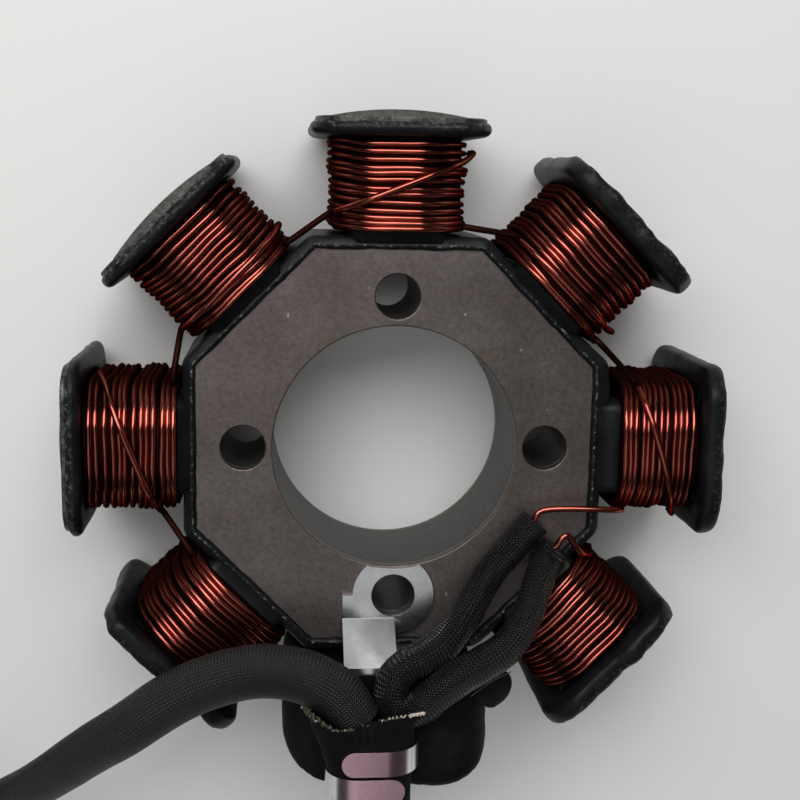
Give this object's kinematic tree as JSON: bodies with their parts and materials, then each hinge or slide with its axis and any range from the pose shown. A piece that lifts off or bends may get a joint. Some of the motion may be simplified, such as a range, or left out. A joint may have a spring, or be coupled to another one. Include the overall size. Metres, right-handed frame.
{
  "type": "wound stator",
  "caption": "Wound stator for a small flywheel generator: laminated ring with coated poles, copper coils, a taped exciter coil, a cable clip and a sleeved harness with a connector.",
  "frame": {"origin": "centre of the bore at the rear face of the ring", "axes": "+Z along the bore axis towards the front face with the cable clip, -Y along the taped exciter pole"},
  "size_m": [0.1747, 0.1059, 0.0378],
  "materials": {
    "lamination_steel": "sawn sheet edges",
    "plate_steel": "bare, slightly stained",
    "epoxy": "uneven glossy coating",
    "copper": "enamelled copper",
    "tape": "varnished cloth tape",
    "zinc": "bright zinc plate",
    "wrap_cloth": "cloth with a frayed edge",
    "sleeve": "varnished woven sleeve",
    "nylon": "natural nylon",
    "collar": "shrunk tube",
    "wire_yellow": "wire insulation",
    "wire_white": "wire insulation",
    "wire_green": "wire insulation",
    "wire_red": "wire insulation",
    "terminal_brass": "bright brass"
  },
  "bodies": {
    "root": {"lamination_stack": "lamination_steel", "front_end_plate": "plate_steel", "rear_end_plate": "plate_steel", "epoxy_coating": "epoxy", "coil_1": "copper", "coil_2": "copper", "coil_3": "copper", "coil_4": "copper", "coil_5": "copper", "coil_6": "copper", "coil_7": "copper", "crossover_1": "copper", "crossover_2": "copper", "crossover_3": "copper", "crossover_4": "copper", "crossover_5": "copper", "exciter_winding": "copper", "exciter_tape": "tape", "cable_clip": "zinc", "bundle_wrap": "wrap_cloth", "lead_sleeve_inner": "sleeve", "lead_sleeve_outer": "sleeve", "lead_wire_inner": "copper", "lead_wire_outer": "copper", "harness_sleeve": "sleeve", "harness_coil": "sleeve", "coil_tie": "nylon", "sleeve_collar": "collar", "harness_wire_1": "wire_yellow", "harness_wire_2": "wire_white", "harness_wire_3": "wire_green", "harness_wire_4": "wire_red", "connector_housing": "nylon", "connector_terminals": "terminal_brass"}
  },
  "joints": []
}
